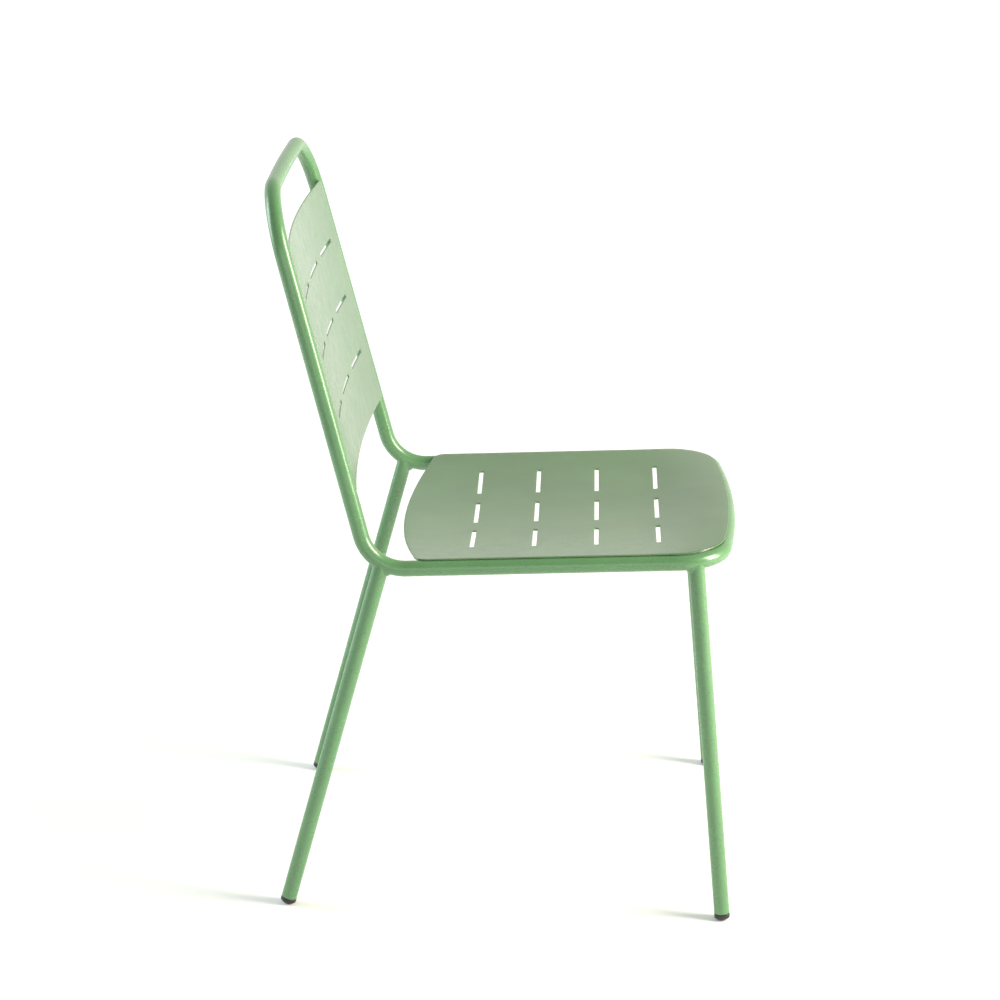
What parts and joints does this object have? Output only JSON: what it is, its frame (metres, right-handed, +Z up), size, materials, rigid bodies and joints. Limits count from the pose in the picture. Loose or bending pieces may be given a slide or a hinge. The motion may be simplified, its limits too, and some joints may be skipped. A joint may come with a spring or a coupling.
{
  "type": "stacking chair",
  "caption": "Stacking side chair: a continuous bent tube loop, splayed straight legs with plastic glides, and a dished sheet steel seat and back with ventilation slots.",
  "frame": {"origin": "on the floor, under the middle of the overall depth and width", "axes": "+X forward (the way the sitter faces), +Y to the sitter's left, +Z up"},
  "size_m": [0.5594, 0.4834, 0.8886],
  "materials": {
    "frame_paint": "satin sage green powder coat",
    "sheet_paint": "satin sage green powder coat on sheet steel",
    "glide_plastic": "matt near-black plastic"
  },
  "bodies": {
    "root": {"seat_hoop": "frame_paint", "back_hoop": "frame_paint", "front_leg_left": "frame_paint", "front_leg_right": "frame_paint", "rear_leg_left": "frame_paint", "rear_leg_right": "frame_paint", "foot_glide_front_left": "glide_plastic", "foot_glide_front_right": "glide_plastic", "foot_glide_rear_left": "glide_plastic", "foot_glide_rear_right": "glide_plastic", "leg_weld_front_left": "frame_paint", "leg_weld_front_right": "frame_paint", "leg_weld_rear_left": "frame_paint", "leg_weld_rear_right": "frame_paint", "seat_sheet": "sheet_paint", "seat_weld_left_1": "frame_paint", "seat_weld_left_2": "frame_paint", "seat_weld_left_3": "frame_paint", "seat_weld_right_1": "frame_paint", "seat_weld_right_2": "frame_paint", "seat_weld_right_3": "frame_paint", "seat_weld_front_1": "frame_paint", "seat_weld_front_2": "frame_paint", "back_sheet": "sheet_paint", "back_weld_left_1": "frame_paint", "back_weld_left_2": "frame_paint", "back_weld_left_3": "frame_paint", "back_weld_right_1": "frame_paint", "back_weld_right_2": "frame_paint", "back_weld_right_3": "frame_paint"}
  },
  "joints": []
}
